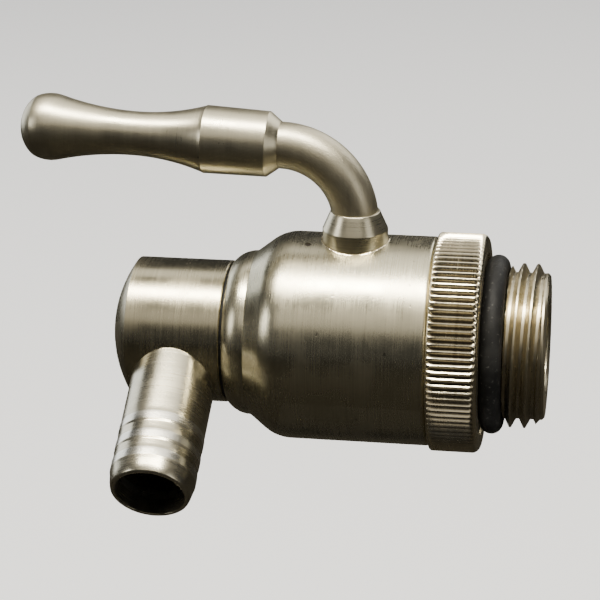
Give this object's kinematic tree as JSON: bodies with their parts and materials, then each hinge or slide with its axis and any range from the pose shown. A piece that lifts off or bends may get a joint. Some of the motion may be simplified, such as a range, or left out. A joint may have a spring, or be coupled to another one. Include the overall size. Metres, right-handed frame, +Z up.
{
  "type": "quarter-turn tap",
  "caption": "Metal quarter-turn ball tap for a kettle or tank, with a threaded tail, a lever and a swivelling head with an angled hose tail.",
  "frame": {"origin": "centre of the flange's rear face, which seats on the outside of the tank wall", "axes": "+X into the tank along the line of flow, +Z up along the spindle, -X to the domed front"},
  "size_m": [0.0675, 0.0391, 0.0483],
  "materials": {
    "body_steel": "satin, turned",
    "tail_steel": "satin, knurled and threaded",
    "lever_steel": "matte, bead blasted",
    "grip_steel": "satin",
    "head_steel": "satin",
    "inner_steel": "machined",
    "black_rubber": "matte",
    "white_ptfe": "matte"
  },
  "bodies": {
    "valve_body": {"body_shell": "body_steel", "threaded_tail": "tail_steel", "tank_seal_ring": "black_rubber", "tail_seal_ring": "black_rubber", "front_seat": "white_ptfe", "rear_seat": "white_ptfe", "stop_pin": "inner_steel"},
    "lever": {"spindle": "body_steel", "ball": "inner_steel", "spindle_seal_upper": "black_rubber", "spindle_seal_lower": "black_rubber", "spindle_thrust_washer": "white_ptfe", "lever_rod": "lever_steel", "lever_grip": "grip_steel"},
    "spout": {"spout_head": "head_steel", "spout_tube": "head_steel", "swivel_seal_front": "black_rubber", "swivel_seal_rear": "black_rubber", "retaining_ring": "inner_steel", "swivel_slide_washer": "white_ptfe"}
  },
  "joints": [
    {"name": "lever_turn", "type": "hinge", "parent": "valve_body", "child": "lever", "pos_m": [-0.0167, 0, 0], "axis": [0, 0, 1], "range_deg": [-90, 0]},
    {"name": "spout_swivel", "type": "hinge", "parent": "valve_body", "child": "spout", "pos_m": [-0.035, 0, 0], "axis": [1, 0, 0], "range_deg": [-90, 210]}
  ]
}
